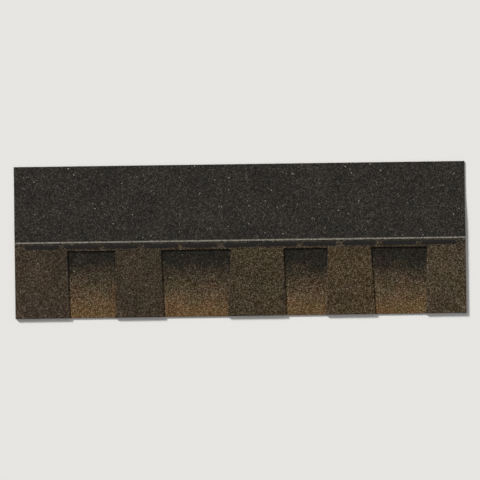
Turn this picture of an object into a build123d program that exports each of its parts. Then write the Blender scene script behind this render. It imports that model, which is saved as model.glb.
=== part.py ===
from build123d import *
import os

# One laminated asphalt roof shingle, lying face up on a level floor.
# X runs along the shingle, Y from the butt edge up to the top edge, and Z is up.
# The origin is on the floor under the middle of the shingle's outline. Sizes are in millimetres.

# Whole shingle
shingle_length = 1000.0
shingle_height = 337.0

# The part that stays in view once the shingle is laid, measured up from the butt edge
exposure = 143.0

# Front sheet: one sheet of coated glass mat, with its lower part die-cut into teeth
front_thickness = 2.6
root_cover = 6.0  # the cut-outs run this far past the exposure, out of view
root_radius = 3.0
# The widths, at the butt edge, of a tooth and of the cut-out to its right, and how far the
# cut-out's left and right sides lean out by its root. The die repeats this row.
cutting_pattern = (
    (120.0, 102.0, 4.0, 1.5),
    (107.0, 142.0, 5.0, 8.5),
    (129.0, 89.0, 4.0, 5.5),
    (109.0, 112.0, 8.5, 5.0),
)
headlap_bend = 110.0  # length over which the sheet comes down from the backer to the floor

# Backer strip under the teeth
backer_lap = 35.0  # it reaches this far past the exposure, out of view
backer_thickness = 2.6

# Asphalt adhesive between the two sheets, in flat strips
bond_thickness = 0.35
strip_width = 14.0
strip_edge_inset = 8.0  # from a tooth's sides, from the butt edge and from the sheet's ends
middle_strip_offset = 76.0  # from the butt edge to the middle of the strip halfway up a tooth
top_strip_inset = 7.0  # from the backer's top edge

# Self-sealing strip on the front sheet, in dashes
seal_setback = 15.0  # from the top of the exposure up to the middle of the dashes
seal_width = 12.0
seal_dash = 76.0
seal_space = 12.0
seal_thickness = 0.8
seal_edge_radius = 0.5
seal_end_margin = 10.0

# Release film pressed into the underside of the backer, below the dashes
film_width = 26.0
film_thickness = 0.2

# Heights of the faces above the floor
backer_top = backer_thickness
front_underside = backer_top + bond_thickness
front_top = front_underside + front_thickness

# Places along Y
butt_edge = -shingle_height / 2
top_edge = shingle_height / 2
exposure_line = butt_edge + exposure
tooth_roots = exposure_line + root_cover
backer_edge = exposure_line + backer_lap
seal_line = exposure_line + seal_setback

left_end = -shingle_length / 2
right_end = shingle_length / 2


def cut_row():
    """The cut-outs, each as the left and right X of its butt and of its root."""
    cut_outs = []
    x = left_end
    while x < right_end:
        for tooth_width, gap_width, left_lean, right_lean in cutting_pattern:
            left = x + tooth_width
            right = left + gap_width
            if left < right_end:
                cut_outs.append((left, right, left - left_lean, right + right_lean))
            x = right
    return cut_outs


cut_outs = cut_row()
# Each tooth's root runs from one cut-out to the next, or to an end of the sheet.
root_sides = [left_end]
for left, right, root_left, root_right in cut_outs:
    root_sides += [root_left, min(root_right, right_end)]
root_sides.append(right_end)
tooth_spans = list(zip(root_sides[::2], root_sides[1::2]))

# Front sheet: flat over the backer, then down to the floor in two long arcs
with BuildPart() as front_sheet:
    with BuildSketch(Plane.YZ.offset(left_end)):
        with BuildLine():
            bend_middle = (backer_edge + headlap_bend / 2, front_underside / 2)
            bend_end = (backer_edge + headlap_bend, 0)
            Line((butt_edge, front_underside), (backer_edge, front_underside))
            fall = TangentArc((backer_edge, front_underside), bend_middle, tangent=(1, 0))
            TangentArc(bend_middle, bend_end, tangent=fall % 1)
            Line(bend_end, (top_edge, 0))
            offset(amount=front_thickness, side=Side.LEFT)
        make_face()
    extrude(amount=shingle_length)
    with BuildSketch(Plane.XY.offset(front_underside)):
        for left, right, root_left, root_right in cut_outs:
            with BuildLine():
                Polyline(
                    (left, butt_edge),
                    (root_left, tooth_roots),
                    (root_right, tooth_roots),
                    (right, butt_edge),
                    close=True,
                )
            make_face()
    extrude(amount=front_thickness, mode=Mode.SUBTRACT)
    root_corners = front_sheet.edges().filter_by(Axis.Z).filter_by_position(
        Axis.Y, tooth_roots, tooth_roots
    )
    fillet(root_corners, root_radius)

# Backer strip, with the seat that the release film is pressed into
with BuildPart() as backer_strip:
    with BuildSketch(Plane.XY):
        with Locations((0, (butt_edge + backer_edge) / 2)):
            Rectangle(shingle_length, backer_edge - butt_edge)
    extrude(amount=backer_thickness)
    with BuildSketch(Plane.XY):
        with Locations((0, seal_line)):
            Rectangle(shingle_length, film_width)
    extrude(amount=film_thickness, mode=Mode.SUBTRACT)

with BuildPart() as release_film:
    with BuildSketch(Plane.XY):
        with Locations((0, seal_line)):
            Rectangle(shingle_length, film_width)
    extrude(amount=film_thickness)

# Adhesive strips: two under each tooth, and one the whole length along the backer's top edge
with BuildPart() as laminating_adhesive:
    with BuildSketch(Plane.XY.offset(backer_top)):
        lowest_strip = butt_edge + strip_edge_inset + strip_width / 2
        for left, right in tooth_spans:
            strip_length = right - left - 2 * strip_edge_inset
            for strip_y in (lowest_strip, butt_edge + middle_strip_offset):
                if strip_length > strip_width:
                    with Locations(((left + right) / 2, strip_y)):
                        SlotOverall(strip_length, strip_width)
        with Locations((0, backer_edge - top_strip_inset - strip_width / 2)):
            SlotOverall(shingle_length - 2 * strip_edge_inset, strip_width)
    extrude(amount=bond_thickness)

# Dashes of sealant, centred on the shingle's length
with BuildPart() as sealant_strip:
    seal_pitch = seal_dash + seal_space
    dash_count = int((shingle_length - 2 * seal_end_margin + seal_space) // seal_pitch)
    with BuildSketch(Plane.XY.offset(front_top)):
        with Locations((0, seal_line)):
            with GridLocations(seal_pitch, 0, dash_count, 1):
                SlotOverall(seal_dash, seal_width)
    extrude(amount=seal_thickness)
    fillet(sealant_strip.faces().filter_by(Axis.Z).group_by(Axis.Z)[-1].edges(), seal_edge_radius)

pieces = {
    "front_sheet": front_sheet,
    "backer_strip": backer_strip,
    "laminating_adhesive": laminating_adhesive,
    "sealant_strip": sealant_strip,
    "release_film": release_film,
}

os.makedirs("parts", exist_ok=True)
for name, piece in pieces.items():
    piece.part.label = name
    export_step(piece.part, f"parts/{name}.step")
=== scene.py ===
from math import cos, pi, radians, sin

import bpy
import numpy as np
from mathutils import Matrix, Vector


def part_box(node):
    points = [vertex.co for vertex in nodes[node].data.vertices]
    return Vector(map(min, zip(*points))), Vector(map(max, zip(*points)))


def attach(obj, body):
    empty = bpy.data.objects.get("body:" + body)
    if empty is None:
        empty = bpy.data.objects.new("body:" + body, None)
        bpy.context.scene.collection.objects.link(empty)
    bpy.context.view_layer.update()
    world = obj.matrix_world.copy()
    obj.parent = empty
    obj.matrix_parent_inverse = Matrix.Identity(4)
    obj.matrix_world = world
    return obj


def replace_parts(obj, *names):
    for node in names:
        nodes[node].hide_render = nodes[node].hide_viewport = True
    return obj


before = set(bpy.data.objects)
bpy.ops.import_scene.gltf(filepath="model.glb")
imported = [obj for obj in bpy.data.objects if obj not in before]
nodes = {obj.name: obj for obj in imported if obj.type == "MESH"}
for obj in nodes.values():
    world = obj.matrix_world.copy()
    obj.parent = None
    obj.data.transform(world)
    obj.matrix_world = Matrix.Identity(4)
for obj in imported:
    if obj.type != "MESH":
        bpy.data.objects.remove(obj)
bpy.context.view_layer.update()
print("frame loaded:", ", ".join(sorted(nodes)))

# One shingle, face up. X runs along it, Y from the butt edge up to the top edge, Z is up.
# Shapes are worked out in millimetres and put into the meshes in metres.
mm = 0.001


def millimetres(corner):
    return [value / mm for value in corner]


frontLow, frontHigh = map(millimetres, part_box("front_sheet"))
backerHigh = millimetres(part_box("backer_strip")[1])
sealLow, sealHigh = map(millimetres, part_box("sealant_strip"))

shingle = {
    "exposure": 143.0,       # what stays in view once the shingle is laid, up from the butt edge
    "rootCover": 6.0,        # the cut-outs reach this far past it
    "rootRadius": 3.0,
    "sheetThickness": 2.6,
    "bendLength": 110.0,     # from the backer's top edge to where the front sheet meets the floor
    # tooth width, cut-out width, and the lean of the cut-out's left and right sides
    "row": ((120.0, 102.0, 4.0, 1.5), (107.0, 142.0, 5.0, 8.5),
            (129.0, 89.0, 4.0, 5.5), (109.0, 112.0, 8.5, 5.0)),
}
leftEnd, rightEnd = frontLow[0], frontHigh[0]
buttEdge, topEdge = frontLow[1], frontHigh[1]
frontTop, backerTop, backerEdge = frontHigh[2], backerHigh[2], backerHigh[1]
rootLine = buttEdge + shingle["exposure"] + shingle["rootCover"]

cutOutCorners = []           # left and right X of each cut-out at the butt and at the root
reached = leftEnd
for toothWidth, gapWidth, leftLean, rightLean in shingle["row"]:
    left, right = reached + toothWidth, reached + toothWidth + gapWidth
    cutOutCorners.append((left, right, left - leftLean, right + rightLean))
    reached = right


# Camera and light

view = {
    "across": 1066.0,        # millimetres that the picture's side takes in
    "lens": 110.0,
    "sensor": 36.0,
    "roll": 0.8,             # degrees by which the butt edge rises to the right
    "aim": (0.0, 0.0),
}
light = {
    "keyFrom": (-0.66, 0.75),          # the key comes over the upper left
    "keyHeight": 27.0,                 # degrees above the floor
    "keySoftness": 12.0,
    "keyShare": 0.66,                  # of the light on a level face; the rest is the sky's
    "keyColour": (1.0, 0.985, 0.96),
    "keyDistance": 3.0,                # metres; a sun's light is the same from any distance
}
scene = bpy.context.scene
scene.view_settings.view_transform = "Standard"

cameraData = bpy.data.cameras.new("camera")
cameraData.lens, cameraData.sensor_width = view["lens"], view["sensor"]
camera = bpy.data.objects.new("camera", cameraData)
scene.collection.objects.link(camera)
cameraHeight = view["across"] * mm * view["lens"] / view["sensor"]
camera.location = (view["aim"][0] * mm, view["aim"][1] * mm, cameraHeight)
camera.rotation_euler = (0, 0, -radians(view["roll"]))
scene.camera = camera

keyData = bpy.data.lights.new("key", "SUN")
keyData.angle = radians(light["keySoftness"])
# a sun of pi overhead lights a white level face to 1, and a lower one to the sine of its height
keyData.energy = light["keyShare"] * pi / sin(radians(light["keyHeight"]))
keyData.color = light["keyColour"]
key = bpy.data.objects.new("key", keyData)
scene.collection.objects.link(key)
level = np.array(light["keyFrom"]) / np.hypot(*light["keyFrom"]) * cos(radians(light["keyHeight"]))
keyWay = Vector((*level, sin(radians(light["keyHeight"]))))
key.rotation_mode = "QUATERNION"
key.rotation_quaternion = keyWay.to_track_quat("Z", "Y")
key.location = keyWay * light["keyDistance"]
print("camera and key light set")


# Small helpers for node trees

def put(tree, kind, **settings):
    made = tree.nodes.new(kind)
    for name, value in settings.items():
        setattr(made, name, value)
    return made


def feed(tree, socket, value):
    # A socket is linked, anything else is set on the input itself.
    if isinstance(value, bpy.types.NodeSocket):
        tree.links.new(value, socket)
    else:
        socket.default_value = value


def maths(tree, operation, *values, clamp=False):
    made = put(tree, "ShaderNodeMath", operation=operation, use_clamp=clamp)
    for socket, value in zip(made.inputs, values):
        feed(tree, socket, value)
    return made.outputs[0]


def mixTint(tree, share, first, second, blend="MIX"):
    made = put(tree, "ShaderNodeMix", data_type="RGBA", blend_type=blend)
    for socket, value in zip((made.inputs[0], made.inputs[6], made.inputs[7]), (share, first, second)):
        feed(tree, socket, value)
    return made.outputs[2]


def multiplied(tree, first, second):
    return mixTint(tree, 1.0, first, second, "MULTIPLY")


def remap(tree, value, fromLow, fromHigh, toLow=0.0, toHigh=1.0, kind="LINEAR"):
    made = put(tree, "ShaderNodeMapRange", interpolation_type=kind)
    for socket, entry in zip(made.inputs, (value, fromLow, fromHigh, toLow, toHigh)):
        feed(tree, socket, entry)
    return made.outputs[0]


def noise(tree, vector, scale, detail=2.0, roughness=0.5):
    # Scale is in waves to the metre. An entry for a noise gives its scale, detail and roughness in order.
    made = put(tree, "ShaderNodeTexNoise")
    for name, value in (("Vector", vector), ("Scale", scale), ("Detail", detail), ("Roughness", roughness)):
        feed(tree, made.inputs[name], value)
    return made.outputs["Fac"]


def voronoi(tree, vector, scale, feature="F1"):
    made = put(tree, "ShaderNodeTexVoronoi", feature=feature)
    feed(tree, made.inputs["Vector"], vector)
    feed(tree, made.inputs["Scale"], scale)
    return made.outputs


def parts(tree, value, kind="XYZ"):
    # The three numbers of a vector, or of a colour with kind "Color".
    made = put(tree, "ShaderNodeSeparate" + kind)
    feed(tree, made.inputs[0], value)
    return made.outputs


def stretched(tree, vector, along):
    # Coordinates whose pattern is drawn out along the shingle.
    made = put(tree, "ShaderNodeMapping")
    feed(tree, made.inputs["Vector"], vector)
    made.inputs["Scale"].default_value = (along, 1.0, 1.0)
    return made.outputs[0]


def bumpOf(tree, shader, height, strength, depth):
    # Depth is in millimetres.
    made = put(tree, "ShaderNodeBump")
    made.inputs["Strength"].default_value = strength
    made.inputs["Distance"].default_value = depth * mm
    feed(tree, made.inputs["Height"], height)
    feed(tree, shader.inputs["Normal"], made.outputs[0])


def objectPlace(tree):
    return put(tree, "ShaderNodeTexCoord").outputs["Object"]


def tint(red, green, blue):
    # A colour as a screen shows it, 0 to 255, in the renderer's own linear light, by the sRGB curve.
    share = np.array((red, green, blue)) / 255
    linear = np.where(share <= 0.04045, share / 12.92, ((share + 0.055) / 1.055) ** 2.4)
    return (*linear.tolist(), 1.0)


def newGroup(name, inputs, outputs):
    tree = bpy.data.node_groups.new(name, "ShaderNodeTree")
    for label, kind in inputs.items():
        tree.interface.new_socket(label, in_out="INPUT", socket_type=kind)
    for label, kind in outputs.items():
        tree.interface.new_socket(label, in_out="OUTPUT", socket_type=kind)
    return tree, put(tree, "NodeGroupInput").outputs, put(tree, "NodeGroupOutput").inputs


def useGroup(tree, group, **values):
    made = put(tree, "ShaderNodeGroup", node_tree=group)
    for name, value in values.items():
        feed(tree, made.inputs[name], value)
    return made.outputs


def newMaterial(name):
    material = bpy.data.materials.new(name)
    material.use_nodes = True
    tree = material.node_tree
    return material, tree, tree.nodes["Principled BSDF"]


def addPiece(name, data, finish):
    piece = bpy.data.objects.new(name, data)
    scene.collection.objects.link(piece)
    data.materials.append(finish)
    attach(piece, "root")
    return piece


number, colourKind, vectorKind = "NodeSocketFloat", "NodeSocketColor", "NodeSocketVector"
noiseSpan = (0.3, 0.7)       # nearly all of what a noise gives lies between these


# Shader groups that several finishes share

stoneLooks = {
    "skew": 2.4,                           # most stones are a little darker than the mean, a few much lighter
    "coolHue": (0.86, 1.02, 1.22, 1.0),    # a stone's colour is multiplied by something between these two
    "warmHue": (1.14, 0.98, 0.78, 1.0),
    "bleachedHue": (1.06, 0.995, 0.92, 1.0),
    "toneStops": (0.0, 0.25, 0.5, 1.0),    # where dark, umber, olive and gold lie in the tone
    "fourthMark": (5.0, 7.0),              # how many of the first mark and of the third are added up for it
    "crevice": (20, 19, 17),               # the asphalt between the stones
    "creviceWidth": 0.7,
    "roughness": (0.6, 0.95),
}

# Stone blend: Tone runs through four colours, from dark over umber and olive to gold, and a stone's first
# mark moves it within Spread. Its second mark m makes it lighter or darker, by 1 - Contrast / (1 + skew)
# + Contrast * m ^ skew, which is 1 on the mean, and greyer, by Bleach * m ^ 2. Its third mark gives it a warm
# or a cool hue. Clear is 0 in a crevice, where the asphalt shows.
stoneBlend, given, out = newGroup(
    "stoneBlend",
    {"Mark": vectorKind, "Clear": number, "Tone": number, "Spread": number, "Contrast": number,
     "Bleach": number, "Hue": number, "Pale Share": number, "Dark": colourKind, "Umber": colourKind,
     "Olive": colourKind, "Gold": colourKind, "Pale": colourKind},
    {"Color": colourKind, "Roughness": number})
first, second, third = parts(stoneBlend, given["Mark"])
moved = maths(stoneBlend, "MULTIPLY", maths(stoneBlend, "SUBTRACT", first, 0.5), given["Spread"])
tone = maths(stoneBlend, "ADD", given["Tone"], moved)
colour, stops = given["Dark"], stoneLooks["toneStops"]
for low, high, name in zip(stops, stops[1:], ("Umber", "Olive", "Gold")):
    colour = mixTint(stoneBlend, remap(stoneBlend, tone, low, high), colour, given[name])
hue = mixTint(stoneBlend, third, stoneLooks["coolHue"], stoneLooks["warmHue"])
colour = mixTint(stoneBlend, given["Hue"], colour, multiplied(stoneBlend, colour, hue))
# a fourth mark, the fraction left when two of the three are added up, picks the few pale stones and sets
# the roughness
firstTimes, thirdTimes = stoneLooks["fourthMark"]
fourth = maths(stoneBlend, "MULTIPLY", third, thirdTimes)
fourth = maths(stoneBlend, "ADD", fourth, maths(stoneBlend, "MULTIPLY", first, firstTimes))
fourth = maths(stoneBlend, "FRACT", fourth)
isPale = maths(stoneBlend, "LESS_THAN", fourth, given["Pale Share"])
colour = mixTint(stoneBlend, isPale, colour, given["Pale"])
fall = maths(stoneBlend, "DIVIDE", given["Contrast"], 1 + stoneLooks["skew"])
darkest = maths(stoneBlend, "SUBTRACT", 1.0, fall)
lightest = maths(stoneBlend, "ADD", darkest, given["Contrast"])
skewed = maths(stoneBlend, "POWER", second, stoneLooks["skew"])
strength = remap(stoneBlend, skewed, 0.0, 1.0, darkest, lightest)
grey = put(stoneBlend, "ShaderNodeRGBToBW")
feed(stoneBlend, grey.inputs[0], colour)
bleachedColour = multiplied(stoneBlend, grey.outputs[0], stoneLooks["bleachedHue"])
bleached = maths(stoneBlend, "MULTIPLY", maths(stoneBlend, "POWER", second, 2.0), given["Bleach"])
lit = put(stoneBlend, "ShaderNodeVectorMath", operation="SCALE")
feed(stoneBlend, lit.inputs[0], mixTint(stoneBlend, bleached, colour, bleachedColour))
feed(stoneBlend, lit.inputs["Scale"], strength)
outOfCrevice = remap(stoneBlend, given["Clear"], 0.0, stoneLooks["creviceWidth"], kind="SMOOTHSTEP")
stoneColour = mixTint(stoneBlend, outOfCrevice, tint(*stoneLooks["crevice"]), lit.outputs[0])
feed(stoneBlend, out["Color"], stoneColour)
feed(stoneBlend, out["Roughness"], remap(stoneBlend, fourth, 0.0, 1.0, *stoneLooks["roughness"]))

chipLooks = {
    "shade": (1.04, 1.76),   # range of the chips' own lightness
    "seam": 0.3,             # lightness where two chips meet
    "seamWidth": 0.15,       # shares of a chip
    "domeWidth": 0.3,
    "skin": 0.6,             # share of the rough skin in the height
    "skinFineness": 2.2,     # waves of the skin to a chip
    "skinDetail": 3.0,
    "skinRoughness": 0.6,
}

# Chips: the small broken stones that the large ones are split into. Shade is each chip's own lightness, and
# falls off where two of them meet. Height is their rounding with a rough skin on it. Size is a chip's width
# in millimetres.
chips, given, out = newGroup(
    "chips", {"Vector": vectorKind, "Size": number}, {"Shade": number, "Height": number})
perMetre = maths(chips, "DIVIDE", 1 / mm, given["Size"])
fromEdge = voronoi(chips, given["Vector"], perMetre, "DISTANCE_TO_EDGE")["Distance"]
ownMark = parts(chips, voronoi(chips, given["Vector"], perMetre)["Color"], "Color")[0]
seam = remap(chips, fromEdge, 0.0, chipLooks["seamWidth"], chipLooks["seam"], 1.0, "SMOOTHSTEP")
ownShade = remap(chips, ownMark, 0.0, 1.0, *chipLooks["shade"])
feed(chips, out["Shade"], maths(chips, "MULTIPLY", seam, ownShade))
finer = maths(chips, "MULTIPLY", perMetre, chipLooks["skinFineness"])
skin = noise(chips, given["Vector"], finer, chipLooks["skinDetail"], chipLooks["skinRoughness"])
skin = maths(chips, "MULTIPLY", skin, chipLooks["skin"])
dome = remap(chips, fromEdge, 0.0, chipLooks["domeWidth"], kind="SMOOTHSTEP")
feed(chips, out["Height"], maths(chips, "ADD", dome, skin))

# Clouds: soft blotches, Size millimetres wide, that shift a value up and down by as much as Reach.
clouds, given, out = newGroup(
    "clouds", {"Vector": vectorKind, "Size": number, "Reach": number, "Detail": number}, {"Shift": number})
cloud = noise(clouds, given["Vector"], maths(clouds, "DIVIDE", 1 / mm, given["Size"]), given["Detail"])
downwards = maths(clouds, "MULTIPLY", given["Reach"], -1.0)
feed(clouds, out["Shift"], remap(clouds, cloud, *noiseSpan, downwards, given["Reach"]))

drift = {
    "rust": (1.07, 0.965, 0.95, 1.0),      # what the colour is multiplied by at the two ends of the drift
    "olive": (0.955, 1.015, 0.93, 1.0),
    "wander": (24.0,),
    "span": (0.36, 0.64),                  # of the noise, from all rust to all olive
}

# Earth drift: over a few centimetres a colour's hue wanders between rust and olive, by Strength.
earthDrift, given, out = newGroup(
    "earthDrift", {"Vector": vectorKind, "Color": colourKind, "Strength": number}, {"Color": colourKind})
wander = remap(earthDrift, noise(earthDrift, given["Vector"], *drift["wander"]), *drift["span"])
driftedHue = mixTint(earthDrift, wander, drift["rust"], drift["olive"])
drifted = multiplied(earthDrift, given["Color"], driftedHue)
feed(earthDrift, out["Color"], mixTint(earthDrift, given["Strength"], given["Color"], drifted))

sheetLooks = {
    "asphalt": (26, 25, 24), "mat": (92, 84, 70),
    "matWidth": 0.52,        # millimetres
    "threads": (900.0, 3.0, 0.6),
    "back": (34, 33, 32), "darkSand": (66, 63, 58), "paleSand": (122, 117, 106),
    "backFrom": -0.5,        # a face is the back where its normal's Z is under this
    "sandPerMetre": 1500.0,
    "streaks": (62.0, 4.0, 0.6),
    "streakLength": 0.16,    # the smaller, the longer
    "streakSpan": (0.32, 0.68), "sandCover": (0.10, 0.62),    # of the noise, and the share of sand there
    "roughness": 0.55, "sandRoughness": 0.35,
    "bump": 0.5, "bumpDepth": 0.2,
}

# Coated sheet: black asphalt, with the glass mat as a pale thread halfway up a cut edge, and fine parting
# sand in streaks on the face that looks down. Middle is the mat's height in metres.
coatedSheet, given, out = newGroup(
    "coatedSheet", {"Vector": vectorKind, "Normal": vectorKind, "Middle": number},
    {"Color": colourKind, "Roughness": number, "Height": number})
height = parts(coatedSheet, given["Vector"])[2]
fromMat = maths(coatedSheet, "ABSOLUTE", maths(coatedSheet, "SUBTRACT", height, given["Middle"]))
threads = noise(coatedSheet, given["Vector"], *sheetLooks["threads"])
matWidth = maths(coatedSheet, "MULTIPLY", threads, sheetLooks["matWidth"] * mm)
onMat = maths(coatedSheet, "LESS_THAN", fromMat, matWidth)
edgeColour = mixTint(coatedSheet, onMat, tint(*sheetLooks["asphalt"]), tint(*sheetLooks["mat"]))
sand = voronoi(coatedSheet, given["Vector"], sheetLooks["sandPerMetre"])
sandMark = parts(coatedSheet, sand["Color"], "Color")
streaky = stretched(coatedSheet, given["Vector"], sheetLooks["streakLength"])
streak = noise(coatedSheet, streaky, *sheetLooks["streaks"])
sandCover = remap(coatedSheet, streak, *sheetLooks["streakSpan"], *sheetLooks["sandCover"])
sanded = maths(coatedSheet, "LESS_THAN", sandMark[0], sandCover)
sandColour = mixTint(coatedSheet, sandMark[1], tint(*sheetLooks["darkSand"]), tint(*sheetLooks["paleSand"]))
backColour = mixTint(coatedSheet, sanded, tint(*sheetLooks["back"]), sandColour)
towardsUp = parts(coatedSheet, given["Normal"])[2]
looksDown = maths(coatedSheet, "LESS_THAN", towardsUp, sheetLooks["backFrom"])
sandRoughness = maths(coatedSheet, "MULTIPLY", sanded, sheetLooks["sandRoughness"])
feed(coatedSheet, out["Color"], mixTint(coatedSheet, looksDown, edgeColour, backColour))
feed(coatedSheet, out["Roughness"], maths(coatedSheet, "ADD", sheetLooks["roughness"], sandRoughness))
feed(coatedSheet, out["Height"], maths(coatedSheet, "ADD", sand["Distance"], threads))
print("shader groups built")


# What the finishes of all granules have in common

faceStones = {               # of the teeth and the cut-outs
    "colours": {"Dark": (31, 29, 22), "Umber": (63, 51, 34), "Olive": (81, 64, 38), "Gold": (106, 79, 42),
                "Pale": (92, 80, 58)},
    "gain": 0.99,            # all the colours are multiplied by this
    "spread": 0.20, "contrast": 2.35, "bleach": 0.75, "hue": 0.45, "paleShare": 0.003,
    "cloudSize": 52.0,       # soft blotches in the tone, in millimetres
    "cloudReach": 0.05,
}
granuleSkin = {
    "chip": 1.15,            # width of a chip in millimetres
    "bump": 0.5,
    "bumpDepth": 0.2,
    "specular": 0.10,
}


def stoneInputs(blend):
    given = {name: tuple(blend["gain"] * share for share in tint(*colour)[:3]) + (1.0,)
             for name, colour in blend["colours"].items()}
    given.update({"Spread": blend["spread"], "Contrast": blend["contrast"], "Bleach": blend["bleach"],
                  "Hue": blend["hue"], "Pale Share": blend["paleShare"]})
    return given


def stoneSources(tree):
    # The place on the object, the stone's three marks, and how clear of a crevice the place is.
    mark = put(tree, "ShaderNodeAttribute", attribute_name="stoneMark").outputs["Vector"]
    clear = put(tree, "ShaderNodeAttribute", attribute_name="stoneClear").outputs["Fac"]
    return objectPlace(tree), mark, clear


def cloudy(tree, place, tone, size, reach, detail=1.5):
    shift = useGroup(tree, clouds, Vector=place, Size=size, Reach=reach, Detail=detail)["Shift"]
    return maths(tree, "ADD", shift, tone)


def finishStones(tree, shader, place, colour, roughness):
    chip = useGroup(tree, chips, Vector=place, Size=granuleSkin["chip"])
    feed(tree, shader.inputs["Base Color"], multiplied(tree, colour, chip["Shade"]))
    feed(tree, shader.inputs["Roughness"], roughness)
    bumpOf(tree, shader, chip["Height"], granuleSkin["bump"], granuleSkin["bumpDepth"])
    shader.inputs["Specular IOR Level"].default_value = granuleSkin["specular"]


# Granules as real relief

stones = {
    "pitch": 1.9,            # from one stone to the next, in millimetres
    "relief": 0.55,          # how far the tallest stones stand up
    "lift": 0.05,            # of the crevices over the sheet
    "rise": (0.42, 0.95),    # of a stone's middle, as shares of the relief
    "lowest": 0.12,
    "tilt": 0.55,
    "gap": 0.42,             # width over which a stone falls into its crevice
    "offMiddle": 0.40,       # how far a stone's middle may lie from its cell's, as a share of the pitch
    "seed": 11,
}
patch = {
    "scatter": 0.30,         # how far each point strays, as a share of the grid's spacing
    "sink": 0.15,            # how far a patch reaches into the sheet that carries it
    "wallClear": 0.6,        # how clear of a crevice the walls count as being, for their colour
    "edgeDrop": 0.34,        # rounding of a patch along a cut edge
    "edgeRound": 1.1,
    # heights of the face, the walls and the floor in the map named OFBake
    "faceBand": 0.955, "wallBand": (0.962, 0.976), "floorBand": (0.982, 0.998),
}
rng = np.random.default_rng(stones["seed"])
margin = 6                   # cells of the lattice beyond the shingle's edges
latticeColumns = int((rightEnd - leftEnd) / stones["pitch"]) + 2 * margin
latticeRows = int((topEdge - buttEdge) / stones["pitch"]) + 2 * margin
stoneCount = latticeColumns * latticeRows
stonePlace = rng.uniform(0.5 - stones["offMiddle"], 0.5 + stones["offMiddle"], (stoneCount, 2))
stoneRise = rng.uniform(*stones["rise"], stoneCount)
stoneTilt = rng.normal(0.0, stones["tilt"], (stoneCount, 2))
stoneMarks = rng.random((stoneCount, 3))


def nearestStone(x, y):
    # Stones stand one in each cell of a square lattice, somewhere off its middle. Of the nine stones round a
    # point the nearest owns it, and the second nearest tells how close the crevice is.
    pitch = stones["pitch"]
    column = np.floor((x - leftEnd) / pitch).astype(int) + margin
    row = np.floor((y - buttEdge) / pitch).astype(int) + margin
    best, second = np.full(x.shape, np.inf), np.full(x.shape, np.inf)
    owner, wayX, wayY = np.zeros(x.shape, int), np.zeros(x.shape), np.zeros(x.shape)
    for up in (-1, 0, 1):
        for aside in (-1, 0, 1):
            index = (row + up) * latticeColumns + column + aside
            dx = x - leftEnd - (column + aside - margin + stonePlace[index, 0]) * pitch
            dy = y - buttEdge - (row + up - margin + stonePlace[index, 1]) * pitch
            distance = np.hypot(dx, dy)
            nearer = distance < best
            second = np.where(nearer, best, np.minimum(second, distance))
            best = np.where(nearer, distance, best)
            owner = np.where(nearer, index, owner)
            wayX, wayY = np.where(nearer, dx, wayX), np.where(nearer, dy, wayY)
    return owner, wayX, wayY, second - best


def stoneRelief(x, y):
    # A stone's top is a tilted plane: its rise plus its tilt times the way from its middle. It falls to the
    # crevice in proportion to how near the next stone is.
    owner, wayX, wayY, toNext = nearestStone(x, y)
    clear = np.clip(toNext / stones["gap"], 0, 1)
    plane = stoneRise[owner] + (stoneTilt[owner, 0] * wayX + stoneTilt[owner, 1] * wayY) / stones["pitch"]
    return stones["relief"] * clear * np.clip(plane, stones["lowest"], 1.0), clear


def granuleFace(span, sides, spacing, ground, cutSides, pressed):
    # A grid over the sheet: y = low + v (high - low) and x = left(y) + u (right(y) - left(y)). Each point
    # strays a little along the sheet and rises by the stones' relief over the ground. At a distance d from a
    # cut side it sinks by edgeDrop (1 - d / edgeRound)^2.
    low, high = span
    rows = int(round((high - low) / spacing)) + 1
    yLine = np.linspace(low, high, rows)
    left, right = (side[:, None] for side in sides(yLine))
    columns = int(round((right - left).max() / spacing)) + 1
    evenX = left + np.linspace(0, 1, columns) * (right - left)
    evenY = np.repeat(yLine[:, None], columns, 1)
    stray = rng.uniform(-patch["scatter"], patch["scatter"], (2, rows, columns)) * spacing
    x, y = evenX + stray[0], evenY + stray[1]
    relief, clear = stoneRelief(x, y)
    z = ground(y) + stones["lift"] + relief
    fromSide = {"left": evenX - left, "right": right - evenX, "low": evenY - low, "high": high - evenY}
    away = np.min([fromSide[side] for side in cutSides], axis=0)
    z -= patch["edgeDrop"] * (1 - np.clip(away / patch["edgeRound"], 0, 1)) ** 2
    if pressed is not None:
        z = np.minimum(z, pressed(x, y))
    return x, y, z, clear


def bandPlaces(low, high, count):
    # Map places of a closed band of quads: once along the map between two heights, in the corners' order.
    step = np.linspace(0, 1, count + 1)
    corners = ((step[:-1], low), (step[1:], low), (step[1:], high), (step[:-1], high))
    return np.stack([np.stack([u, np.full(count, v)], -1) for u, v in corners], 1).reshape(-1, 2)


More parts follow.
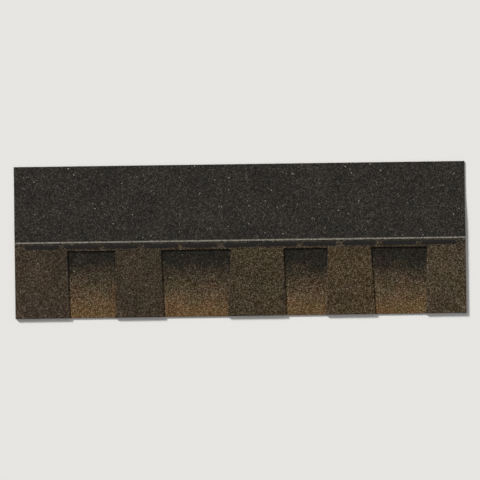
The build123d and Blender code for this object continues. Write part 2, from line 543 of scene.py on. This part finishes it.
def granulePatch(name, finish, span, sides, spacing, ground, cutSides, pressed=None):
    # The granule face, closed by a rim of short walls and a floor that lies inside the sheet.
    x, y, z, clear = granuleFace(span, sides, spacing, ground, cutSides, pressed)
    rows, columns = x.shape
    flatX, flatY = x.ravel(), y.ravel()
    grid = np.arange(rows * columns).reshape(rows, columns)
    # the rim once round from the first corner, counterclockwise as seen from above, and the points below it
    rim = np.concatenate([grid[0, :-1], grid[:-1, -1], grid[-1, :0:-1], grid[:0:-1, 0]])
    below = np.arange(len(rim)) + rows * columns
    top = np.stack([grid[:-1, :-1], grid[:-1, 1:], grid[1:, 1:], grid[1:, :-1]], -1).reshape(-1, 4)
    walls = np.stack([below, np.roll(below, -1), np.roll(rim, -1), rim], -1)
    points = np.concatenate([np.stack([flatX, flatY, z.ravel()], -1),
                             np.stack([flatX[rim], flatY[rim], ground(flatY[rim]) - patch["sink"]], -1)])
    # the floor is a strip for each row, and its first and last strips take in the whole low and high rim
    leftBelow = np.concatenate([below[:1], below[:-rows:-1]])
    rightBelow = below[columns - 1:columns + rows - 1]
    floor = np.stack([leftBelow[1:-2], leftBelow[2:-1], rightBelow[2:-1], rightBelow[1:-2]], -1)
    lowRim, highRim = below[:columns][::-1], below[columns + rows - 2:2 * columns + rows - 2][::-1]
    firstStrip = [leftBelow[1], rightBelow[1], *lowRim]
    lastStrip = [rightBelow[-2], leftBelow[-2], *highRim]
    faces = [*top.tolist(), *walls.tolist(), *floor.tolist(),
             [int(place) for place in firstStrip], [int(place) for place in lastStrip]]
    data = bpy.data.meshes.new(name)
    data.from_pydata(points * mm, [], faces)

    # each face takes the marks of the stone under its middle
    middles = [np.concatenate([flat[top].mean(1), flat[rim]]) for flat in (flatX, flatY)]
    owners = nearestStone(*middles)[0]
    marks = np.zeros((len(faces), 3))
    marks[:len(owners)] = stoneMarks[owners]
    data.attributes.new("stoneMark", "FLOAT_VECTOR", "FACE").data.foreach_set("vector", marks.ravel())
    clearness = np.concatenate([clear.ravel(), np.full(len(rim), patch["wallClear"])])
    data.attributes.new("stoneClear", "FLOAT", "POINT").data.foreach_set("value", clearness)

    # the map named OFBake: the face from above, with the walls and the floor in narrow bands of their own
    along, up = ((flat - flat.min()) / np.ptp(flat) for flat in (flatX, flatY))
    topPlaces = np.stack([along, up * patch["faceBand"]], -1)[top].reshape(-1, 2)
    floorLow, floorHigh = patch["floorBand"]
    rimPlaces = np.stack([along[rim], floorLow + up[rim] * (floorHigh - floorLow)], -1)
    floorCorners = np.concatenate([floor.ravel(), firstStrip, lastStrip]) - rows * columns
    places = [topPlaces, bandPlaces(*patch["wallBand"], len(rim)), rimPlaces[floorCorners]]
    data.uv_layers.new(name="OFBake").data.foreach_set("uv", np.concatenate(places).ravel())
    addPiece(name, data, finish)


# Sides of the patches, each giving an X for every Y

def straight(x):
    return lambda y: np.full(y.shape, x)


def slanted(atButt, atRoot):
    return lambda y: atButt + (atRoot - atButt) * (y - buttEdge) / (rootLine - buttEdge)


def flared(side, way):
    # A tooth's side with the rounding of the cut-out's corner added: r - sqrt(r^2 - (r - d)^2) at a distance
    # d below the roots. Way is 1 to the right and -1 to the left.
    radius = shingle["rootRadius"]

    def place(y):
        depth = radius - np.clip(rootLine - y, 0, radius)
        return side(y) + way * (radius - np.sqrt(radius ** 2 - depth ** 2))

    return place


def between(leftSide, rightSide, overlap=0.0):
    return lambda y: (leftSide(y) - overlap, rightSide(y) + overlap)


# Teeth

teeth = {
    "spacing": 0.76,
    "pastRoot": 0.5,         # how far a tooth's stones reach past the roots, under the headlap's
    # each tooth's tone, its share of the common contrast, and its hue, left to right
    "looks": ((0.27, 0.88, (1.09, 1.06, 1.08, 1.0)), (0.26, 0.87, (1.04, 1.02, 1.00, 1.0)),
              (0.33, 1.04, (1.01, 1.01, 0.91, 1.0)), (0.40, 0.98, (1.07, 1.03, 0.93, 1.0)),
              (0.42, 0.97, (1.00, 1.02, 1.00, 1.0))),
    "drift": 0.45,           # share of the drift between rust and olive
}


def toothFinish(name, tone, contrastShare, hue):
    material, tree, shader = newMaterial(name)
    place, mark, clear = stoneSources(tree)
    moved = cloudy(tree, place, tone, faceStones["cloudSize"], faceStones["cloudReach"])
    given = stoneInputs(faceStones)
    given["Contrast"] *= contrastShare
    stone = useGroup(tree, stoneBlend, Mark=mark, Clear=clear, Tone=moved, **given)
    coloured = multiplied(tree, stone["Color"], hue)
    drifted = useGroup(tree, earthDrift, Vector=place, Color=coloured, Strength=teeth["drift"])["Color"]
    finishStones(tree, shader, place, drifted, stone["Roughness"])
    return material


toothSides = [straight(leftEnd)]
for left, right, rootLeft, rootRight in cutOutCorners:
    toothSides += [flared(slanted(left, rootLeft), 1), flared(slanted(right, rootRight), -1)]
toothSides.append(straight(rightEnd))

for index, looks in enumerate(teeth["looks"]):
    granulePatch(f"tooth_granules_{index + 1}",
                 toothFinish(f"toothStones{index + 1}", *looks),
                 (buttEdge, rootLine + teeth["pastRoot"]), between(*toothSides[2 * index:2 * index + 2]),
                 teeth["spacing"], straight(frontTop), ("left", "right", "low"))
print("teeth covered")


# Cut-outs

cutOut = {
    "spacing": 0.78,
    "underTeeth": 1.4,       # how far the stones reach under the teeth and the roots
    "pressedTo": 0.30,       # their height there, less than the adhesive's
    "pressGain": 2.0,        # the height that they may gain over the first millimetres in the open
    "pressRun": 1.2,
    "shifts": (0.03, 0.01, -0.04, 0.0),    # each cut-out's own shift of the tone, left to right
    # from the root down to the butt: millimetres above the butt, and the tone there. The darkest tones at the
    # top are partly the shingle's own dark granule band and partly painted shade that stands for the next
    # course's butt above it
    "bandWithPaintedShade": ((142.0, -0.06), (124.0, 0.00), (104.0, 0.17), (64.0, 0.50), (24.0, 0.86), (6.0, 1.02)),
    # between these two tones the stones come to differ less from each other, as the gold ones do
    "goldTones": (0.5, 1.0), "goldContrast": 1.7, "goldBleach": 0.55,
    "cloudReach": 0.10,
    "cloudDetail": 2.5,
}


def cutOutFinish(name, shift):
    material, tree, shader = newMaterial(name)
    place, mark, clear = stoneSources(tree)
    alongY = parts(tree, place)[1]
    # the shadow band of dark granules with painted shade on it: dark stones at the root, partly the shingle's
    # own dark granules and partly painted shadow of the next course's butt above, and more and more gold ones
    # down to the butt
    tone = cutOut["bandWithPaintedShade"][0][1] + shift
    for (above, toneAbove), (below, toneBelow) in zip(cutOut["bandWithPaintedShade"], cutOut["bandWithPaintedShade"][1:]):
        top, bottom = (buttEdge + above) * mm, (buttEdge + below) * mm
        tone = maths(tree, "ADD", tone, remap(tree, alongY, top, bottom, 0.0, toneBelow - toneAbove))
    moved = cloudy(tree, place, tone, faceStones["cloudSize"], cutOut["cloudReach"], cutOut["cloudDetail"])
    given, goldTones = stoneInputs(faceStones), cutOut["goldTones"]
    given["Contrast"] = remap(tree, tone, *goldTones, faceStones["contrast"], cutOut["goldContrast"])
    given["Bleach"] = remap(tree, tone, *goldTones, faceStones["bleach"], cutOut["goldBleach"])
    stone = useGroup(tree, stoneBlend, Mark=mark, Clear=clear, Tone=moved, **given)
    drifted = useGroup(tree, earthDrift, Vector=place, Color=stone["Color"], Strength=1.0)["Color"]
    finishStones(tree, shader, place, drifted, stone["Roughness"])
    return material


def pressedUnder(leftSide, rightSide):
    # The most that a stone may stand up: pressedTo under the teeth and the roots, and with the distance d out
    # in the open pressGain d / pressRun more.
    def height(x, y):
        away = np.min([x - leftSide(y), rightSide(y) - x, rootLine - y], axis=0)
        gained = cutOut["pressGain"] * np.clip(away / cutOut["pressRun"], 0, 1)
        return backerTop + cutOut["pressedTo"] + gained

    return height


for index, (left, right, rootLeft, rootRight) in enumerate(cutOutCorners):
    bothSides = slanted(left, rootLeft), slanted(right, rootRight)
    granulePatch(f"cut_out_granules_{index + 1}",
                 cutOutFinish(f"cutOutStones{index + 1}", cutOut["shifts"][index]),
                 (buttEdge, rootLine + cutOut["underTeeth"]), between(*bothSides, cutOut["underTeeth"]),
                 cutOut["spacing"], straight(backerTop), ("low",), pressedUnder(*bothSides))
print("cut-outs covered")


# Headlap, following the front sheet as it comes down to the floor

headlap = {
    "pieces": 4,
    "overlap": 0.5,          # of one piece over the next
    "spacing": 1.04,
    "colours": {"Dark": (27, 26, 24), "Umber": (45, 42, 38), "Olive": (57, 54, 49), "Gold": (82, 78, 70),
                "Pale": (116, 112, 102)},
    "gain": 1.0,
    "spread": 0.34, "contrast": 1.9, "bleach": 0.3, "hue": 0.4, "paleShare": 0.005,
    "tone": 0.27, "cloudSize": 80.0, "cloudReach": 0.06,
    "faceTone": 0.30,        # of the teeth's stones, which end a little above the roots
    "border": 13.0,          # millimetres above the roots
    "ragged": 7.0,           # how far the border wanders
    "raggedSize": 30.0,
    "sameLine": 0.01,        # the sheet's corners this near to its end or its upper line are on it
    "sameHeight": 1.0,       # corners this near along Y stand over each other
}
nailLine = {                 # painted on the stones' tops
    "above": 168.0, "width": 3.0,
    "wobble": 1.6, "wobbles": (700.0,),
    "colour": (150, 146, 135),
    "wear": (160.0, 3.0), "wearSpan": (0.30, 0.55), "cover": (0.35, 0.85),
    "clear": 0.35,           # the paint keeps out of the crevices
}


def headlapFinish(name):
    material, tree, shader = newMaterial(name)
    place, mark, clear = stoneSources(tree)
    alongY = parts(tree, place)[1]
    darkTone = cloudy(tree, place, headlap["tone"], headlap["cloudSize"], headlap["cloudReach"])
    dark = useGroup(tree, stoneBlend, Mark=mark, Clear=clear, Tone=darkTone, **stoneInputs(headlap))
    faceTone = cloudy(tree, place, headlap["faceTone"], faceStones["cloudSize"], faceStones["cloudReach"])
    face = useGroup(tree, stoneBlend, Mark=mark, Clear=clear, Tone=faceTone, **stoneInputs(faceStones))
    # stone by stone, the teeth's blend gives way to the headlap's plain dark stones
    strewn = maths(tree, "SUBTRACT", parts(tree, mark)[2], 0.5)
    strewn = maths(tree, "MULTIPLY", strewn, headlap["ragged"] * 2 * mm)
    wander = cloudy(tree, place, strewn, headlap["raggedSize"], headlap["ragged"] * mm)
    border = maths(tree, "ADD", alongY, wander)
    above = maths(tree, "GREATER_THAN", border, (rootLine + headlap["border"]) * mm)
    colour = mixTint(tree, above, face["Color"], dark["Color"])
    # the line that the nails follow
    wobble = maths(tree, "SUBTRACT", noise(tree, place, *nailLine["wobbles"]), 0.5)
    wobble = maths(tree, "MULTIPLY", wobble, nailLine["wobble"] * mm)
    fromLine = maths(tree, "SUBTRACT", alongY, (buttEdge + nailLine["above"]) * mm)
    fromLine = maths(tree, "ABSOLUTE", maths(tree, "ADD", fromLine, wobble))
    within = maths(tree, "LESS_THAN", fromLine, nailLine["width"] / 2 * mm)
    onTop = maths(tree, "MULTIPLY", within, maths(tree, "GREATER_THAN", clear, nailLine["clear"]))
    wear = noise(tree, place, *nailLine["wear"])
    worn = remap(tree, wear, *nailLine["wearSpan"], *nailLine["cover"])
    colour = mixTint(tree, maths(tree, "MULTIPLY", onTop, worn), colour, tint(*nailLine["colour"]))
    finishStones(tree, shader, place, colour, dark["Roughness"])
    return material


frontMesh = nodes["front_sheet"].data
corners = np.empty(len(frontMesh.vertices) * 3)
frontMesh.vertices.foreach_get("co", corners)
corners = corners.reshape(-1, 3) / mm
atEnd = np.abs(corners[:, 0] - leftEnd) < headlap["sameLine"]
endFace = np.unique(corners[atEnd].round(4), axis=0)
# the sheet's upper line: at its end, the corners with no other corner above them
stacked = np.abs(endFace[:, 1][:, None] - endFace[:, 1]) < headlap["sameHeight"]
highest = np.where(stacked, endFace[:, 2], -np.inf).max(1)
lapY, lapZ = endFace[endFace[:, 2] > highest - headlap["sameLine"]][:, 1:].T


def lapGround(y):
    return np.interp(y, lapY, lapZ)


headlapStones = headlapFinish("headlapStones")
starts = np.linspace(leftEnd, rightEnd, headlap["pieces"] + 1)
for index, (start, end) in enumerate(zip(starts, starts[1:])):
    overlap = headlap["overlap"] * (index > 0)
    cutSides = ["high"] + ["left"] * (index == 0) + ["right"] * (index == headlap["pieces"] - 1)
    granulePatch(f"headlap_granules_{index + 1}", headlapStones, (rootLine, topEdge),
                 between(straight(start - overlap), straight(end)), headlap["spacing"], lapGround, cutSides)
print("headlap covered")


# Sealant beads

bead = {
    "dash": 76.0, "space": 12.0,
    "stations": 56, "profile": 15,         # points along and across a bead
    "crowding": 0.985,       # the nearer to 1, the more the stations crowd towards the ends
    "endCut": 0.995,         # the ends' circles stop at this share of their radius
    "fullness": 0.42,        # the smaller, the flatter a bead's top
    "endFall": 0.5,          # the smaller, the more suddenly a bead falls at its ends
    "uneven": 0.07,          # of the width and the height
    "waver": 0.5,            # of the middle line, in millimetres
    # the waves in the width and in the middle line: millimetres that a radian takes, and the share
    "widthWaves": ((9.0, 0.6), (4.1, 0.4)), "lineWaves": ((21.0, 0.7), (8.0, 0.3)),
    "sink": 0.12,            # into the front sheet
    "seed": 5,
    "fresh": (13, 12, 12), "dusty": (70, 64, 55),
    "skin": (260.0, 3.0, 0.55), "roughness": (0.60, 0.85),
    "dust": (1100.0, 3.0), "dustSpan": (0.54, 0.70), "dustRoughness": 0.95,
    "specular": 0.15,
    "pitsPerMetre": 300.0, "pitShare": 0.16, "pitWidth": 0.34,    # small burst bubbles
    "bump": 0.9, "bumpDepth": 0.6,
}


def waves(along, phases, mix):
    # The sum of share * sin(along / length + phase).
    return sum(np.sin(along / length + phase) * share for phase, (length, share) in zip(phases, mix))


def sealantBeads(name, finish):
    # A low dome carried along each dash. Across the bead z = height (1 - w^2)^fullness with w from -1 to 1,
    # and its half width shrinks at both ends like a circle's. Slow sine waves make the width and the line
    # uneven.
    pitch = bead["dash"] + bead["space"]
    count = round((sealHigh[0] - sealLow[0] + bead["space"]) / pitch)
    middle = (np.arange(count) - (count - 1) / 2)[:, None] * pitch
    # one phase for each bead and each of the four waves
    phase = np.random.default_rng(bead["seed"]).uniform(0, 2 * pi, (count, 4)).T[:, :, None]
    half, reach = (sealHigh[1] - sealLow[1]) / 2, bead["dash"] / 2
    along = reach * np.sin(np.linspace(-1, 1, bead["stations"]) * pi / 2 * bead["crowding"])
    pastStraight = (np.abs(along) - (reach - half)) / half
    rounding = np.sqrt(1 - np.clip(pastStraight, 0, bead["endCut"]) ** 2)
    size = 1 - bead["uneven"] + bead["uneven"] * waves(along, phase[:2], bead["widthWaves"])
    width = half * rounding * size
    height = (sealHigh[2] - frontTop) * rounding ** bead["endFall"] * size
    line = (sealLow[1] + sealHigh[1]) / 2 + bead["waver"] * waves(along, phase[2:], bead["lineWaves"])
    w = np.cos(np.linspace(pi, 0, bead["profile"]))
    dome = np.clip(1 - w ** 2, 0, 1) ** bead["fullness"]
    skin = np.stack([(middle + along)[..., None] + 0 * w, line[..., None] + width[..., None] * w,
                     frontTop + height[..., None] * dome], -1)
    sole = skin[:, :, [-1, 0]] - (0, 0, bead["sink"])
    rings = np.concatenate([skin, sole], 2)
    places = np.arange(rings[..., 0].size).reshape(rings.shape[:3])
    following = np.roll(places, -1, 2)
    sides = np.stack([places[:, :-1], places[:, 1:], following[:, 1:], following[:, :-1]], -1)
    ends = [*places[:, 0].tolist(), *places[:, -1, ::-1].tolist()]
    data = bpy.data.meshes.new(name)
    data.from_pydata(rings.reshape(-1, 3) * mm, [], sides.reshape(-1, 4).tolist() + ends)
    data.polygons.foreach_set("use_smooth", np.ones(len(data.polygons), bool))
    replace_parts(addPiece(name, data, finish), "sealant_strip")


def sealantFinish(name):
    # Black asphalt, set with a wavy skin, a few pits of burst bubbles and dust from the stones.
    material, tree, shader = newMaterial(name)
    place = objectPlace(tree)
    skin = noise(tree, place, *bead["skin"])
    bubble = voronoi(tree, place, bead["pitsPerMetre"])
    burst = maths(tree, "LESS_THAN", parts(tree, bubble["Color"], "Color")[0], bead["pitShare"])
    pit = remap(tree, bubble["Distance"], 0.0, bead["pitWidth"], 1.0, 0.0, "SMOOTHSTEP")
    pit = maths(tree, "MULTIPLY", pit, burst)
    height = maths(tree, "SUBTRACT", skin, pit)
    dust = remap(tree, noise(tree, place, *bead["dust"]), *bead["dustSpan"])
    rough = remap(tree, skin, *noiseSpan, *bead["roughness"])
    rough = maths(tree, "MAXIMUM", rough, maths(tree, "MULTIPLY", dust, bead["dustRoughness"]))
    feed(tree, shader.inputs["Base Color"], mixTint(tree, dust, tint(*bead["fresh"]), tint(*bead["dusty"])))
    feed(tree, shader.inputs["Roughness"], rough)
    bumpOf(tree, shader, height, bead["bump"], bead["bumpDepth"])
    shader.inputs["Specular IOR Level"].default_value = bead["specular"]
    return material


sealantBeads("sealant_beads", sealantFinish("sealant"))
print("sealant laid")


# The sheets themselves, their adhesive and the film

matHeights = {               # each sheet's middle, over the backer and past the bend
    "front_sheet": (frontTop - shingle["sheetThickness"] / 2, shingle["sheetThickness"] / 2),
    "backer_strip": (backerTop / 2, backerTop / 2),
}
adhesive = {"dark": (16, 15, 15), "light": (30, 28, 27), "ooze": (180.0, 3.0), "roughness": (0.22, 0.45)}
film = {
    "clear": (104, 104, 101), "milky": (146, 146, 141),
    "milk": (45.0, 3.0), "milkSpan": (0.35, 0.65),
    "wrinkles": (170.0, 3.0, 0.6), "roughness": (0.10, 0.28),
    "wrinkleLength": 0.12,   # the smaller, the longer
    "bump": 0.6, "bumpDepth": 0.5,
}


def dress(nodeName, material):
    for slot in nodes[nodeName].material_slots:
        slot.material = material


def sheetFinish(name, overBacker, pastBend):
    material, tree, shader = newMaterial(name)
    place = objectPlace(tree)
    facing = put(tree, "ShaderNodeNewGeometry").outputs["True Normal"]
    bend = backerEdge * mm, (backerEdge + shingle["bendLength"]) * mm
    middle = remap(tree, parts(tree, place)[1], *bend, overBacker * mm, pastBend * mm, "SMOOTHSTEP")
    surface = useGroup(tree, coatedSheet, Vector=place, Normal=facing, Middle=middle)
    feed(tree, shader.inputs["Base Color"], surface["Color"])
    feed(tree, shader.inputs["Roughness"], surface["Roughness"])
    bumpOf(tree, shader, surface["Height"], sheetLooks["bump"], sheetLooks["bumpDepth"])
    return material


def adhesiveFinish(name):
    material, tree, shader = newMaterial(name)
    ooze = noise(tree, objectPlace(tree), *adhesive["ooze"])
    colour = mixTint(tree, ooze, tint(*adhesive["dark"]), tint(*adhesive["light"]))
    feed(tree, shader.inputs["Base Color"], colour)
    feed(tree, shader.inputs["Roughness"], remap(tree, ooze, *noiseSpan, *adhesive["roughness"]))
    return material


def filmFinish(name):
    # Thin and clear over black, so it shows as a grey gloss with lengthways wrinkles.
    material, tree, shader = newMaterial(name)
    place = objectPlace(tree)
    wrinkle = noise(tree, stretched(tree, place, film["wrinkleLength"]), *film["wrinkles"])
    milky = remap(tree, noise(tree, place, *film["milk"]), *film["milkSpan"])
    feed(tree, shader.inputs["Base Color"], mixTint(tree, milky, tint(*film["clear"]), tint(*film["milky"])))
    feed(tree, shader.inputs["Roughness"], remap(tree, wrinkle, *noiseSpan, *film["roughness"]))
    bumpOf(tree, shader, wrinkle, film["bump"], film["bumpDepth"])
    return material


for nodeName, heights in matHeights.items():
    dress(nodeName, sheetFinish(nodeName + "Asphalt", *heights))
dress("laminating_adhesive", adhesiveFinish("bondAsphalt"))
dress("release_film", filmFinish("releaseFilm"))
print("sheets, adhesive and film finished")


# Floor and surround

room = {
    "floor": (0.80, 0.795, 0.78, 1.0), "floorHalf": 8.0, "floorDrop": 0.0002,    # metres
    "floorRoughness": 0.9, "floorSpecular": 0.1,
    "surround": (0.86, 0.855, 0.84, 1.0),
    "sky": (1.0, 1.0, 1.0, 1.0),
}
floorData = bpy.data.meshes.new("floor")
floorCorner = np.array([(-1, -1), (1, -1), (1, 1), (-1, 1)]) * room["floorHalf"]
floorData.from_pydata(np.column_stack([floorCorner, np.full(4, -room["floorDrop"])]), [], [(0, 1, 2, 3)])
floor = bpy.data.objects.new("floor", floorData)
scene.collection.objects.link(floor)
floorPaint, tree, shader = newMaterial("floorPaint")
shader.inputs["Base Color"].default_value = room["floor"]
shader.inputs["Roughness"].default_value = room["floorRoughness"]
shader.inputs["Specular IOR Level"].default_value = room["floorSpecular"]
floorData.materials.append(floorPaint)

world = bpy.data.worlds.new("surround")
scene.world = world
world.use_nodes = True
tree = world.node_tree
sky = tree.nodes["Background"]
sky.inputs["Color"].default_value = room["sky"]
sky.inputs["Strength"].default_value = 1.0 - light["keyShare"]
seen = put(tree, "ShaderNodeBackground")
seen.inputs["Color"].default_value = room["surround"]
path = put(tree, "ShaderNodeLightPath").outputs
seesSurround = maths(tree, "ADD", path["Is Camera Ray"], path["Is Transmission Ray"])
seesSurround = maths(tree, "ADD", seesSurround, path["Is Glossy Ray"], clamp=True)
chooser = put(tree, "ShaderNodeMixShader")
for socket, value in zip(chooser.inputs, (seesSurround, sky.outputs[0], seen.outputs[0])):
    feed(tree, socket, value)
feed(tree, tree.nodes["World Output"].inputs["Surface"], chooser.outputs[0])
print("floor and surround set")
